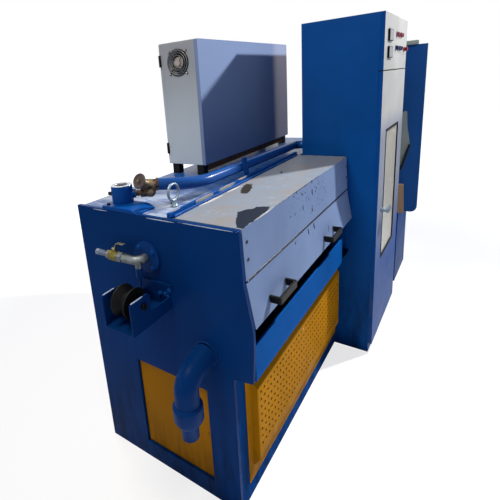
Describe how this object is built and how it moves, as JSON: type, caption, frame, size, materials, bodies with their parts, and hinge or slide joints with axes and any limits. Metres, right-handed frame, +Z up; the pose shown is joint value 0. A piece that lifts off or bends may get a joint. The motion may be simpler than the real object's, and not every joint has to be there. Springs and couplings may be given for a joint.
{
  "type": "wire drawing machine",
  "caption": "Hooded drawing tank on a base with a perforated front tray, gear housing and control box behind, tall glazed cabinet and take-up housing at the far end.",
  "frame": {"origin": "on the floor under the outer face of the inlet end plate, at the base of the machine", "axes": "+X along the machine from the inlet end to the take-up end, -Y towards the operator, +Z up"},
  "size_m": [2.812, 1.006, 1.882],
  "materials": {
    "blue_paint": "gloss blue machine paint",
    "yellow_paint": "satin yellow paint",
    "pale_paint": "worn pale grey paint",
    "cream_paint": "cream powder coat",
    "grey_paint": "light grey powder coat",
    "black_plastic": "moulded black plastic",
    "button_plastic": "push buttons in red and pink",
    "steel": "zinc plated and bright steel",
    "brass": "dull brass",
    "iron": "brown enamelled iron",
    "glass": "clear pane"
  },
  "bodies": {
    "machine": {"end_plate": "blue_paint", "near_cover": "yellow_paint", "base_front_frame": "blue_paint", "base_tray_panel": "yellow_paint", "drive_housing": "blue_paint", "tank_floor": "blue_paint", "tank_far_wall": "blue_paint", "front_rail": "blue_paint", "lid_hinge_strip": "blue_paint", "drawing_cones": "steel", "cabinet_near_wall": "blue_paint", "cabinet_far_wall": "blue_paint", "cabinet_back_wall": "blue_paint", "cabinet_roof": "blue_paint", "cabinet_floor": "blue_paint", "control_panel": "cream_paint", "panel_meters": "black_plastic", "panel_buttons": "button_plastic", "takeup_side_wall": "blue_paint", "takeup_housing": "blue_paint", "link_base": "blue_paint", "wire_guard": "grey_paint", "control_box": "grey_paint", "box_rear_door": "grey_paint", "box_legs": "steel", "box_hinges": "black_plastic", "fan_frame": "black_plastic", "stub_pipe": "blue_paint", "feed_valve": "brass", "main_pipe": "blue_paint", "pipe_bracket": "blue_paint", "lifting_eye": "steel", "inlet_pipe": "steel", "ball_valve": "brass", "pulley_bracket": "blue_paint", "pulley_axle": "steel", "drain_pipe": "blue_paint"},
    "hood": {"lid_top": "pale_paint"},
    "flap": {"lid_flap": "pale_paint", "flap_handles": "black_plastic"},
    "door": {"cabinet_door": "cream_paint", "door_window": "glass", "door_handle": "steel"},
    "pulley": {"inlet_pulley": "black_plastic"},
    "fan": {"fan_rotor": "black_plastic"},
    "lever": {"valve_lever": "brass"},
    "wheel": {"valve_wheel": "iron"}
  },
  "joints": [
    {"name": "hood_hinge", "type": "hinge", "parent": "machine", "child": "hood", "pos_m": [0.6, -0.12, 1.182], "axis": [-1, 0, 0], "range_deg": [0, 70]},
    {"name": "flap_hinge", "type": "hinge", "parent": "hood", "child": "flap", "pos_m": [0.6, -0.398, 0.999], "axis": [-1, 0, 0], "range_deg": [0, 100]},
    {"name": "door_hinge", "type": "hinge", "parent": "machine", "child": "door", "pos_m": [1.868, -0.545, 0.8], "axis": [0, 0, 1], "range_deg": [0, 100]},
    {"name": "pulley_turn", "type": "hinge", "parent": "machine", "child": "pulley", "pos_m": [-0.152, -0.0375, 0.924], "axis": [0, 1, 0], "continuous": true},
    {"name": "fan_turn", "type": "hinge", "parent": "machine", "child": "fan", "pos_m": [0.637, 0.252, 1.727], "axis": [1, 0, 0], "continuous": true},
    {"name": "lever_turn", "type": "hinge", "parent": "machine", "child": "lever", "pos_m": [-0.052, 0.117, 1.049], "axis": [0, 0, -1], "range_deg": [0, 90]},
    {"name": "wheel_turn", "type": "hinge", "parent": "machine", "child": "wheel", "pos_m": [0.08381, 0.077, 1.2822], "axis": [-0.9063, 0, 0.4226], "range_deg": [0, 720]}
  ]
}
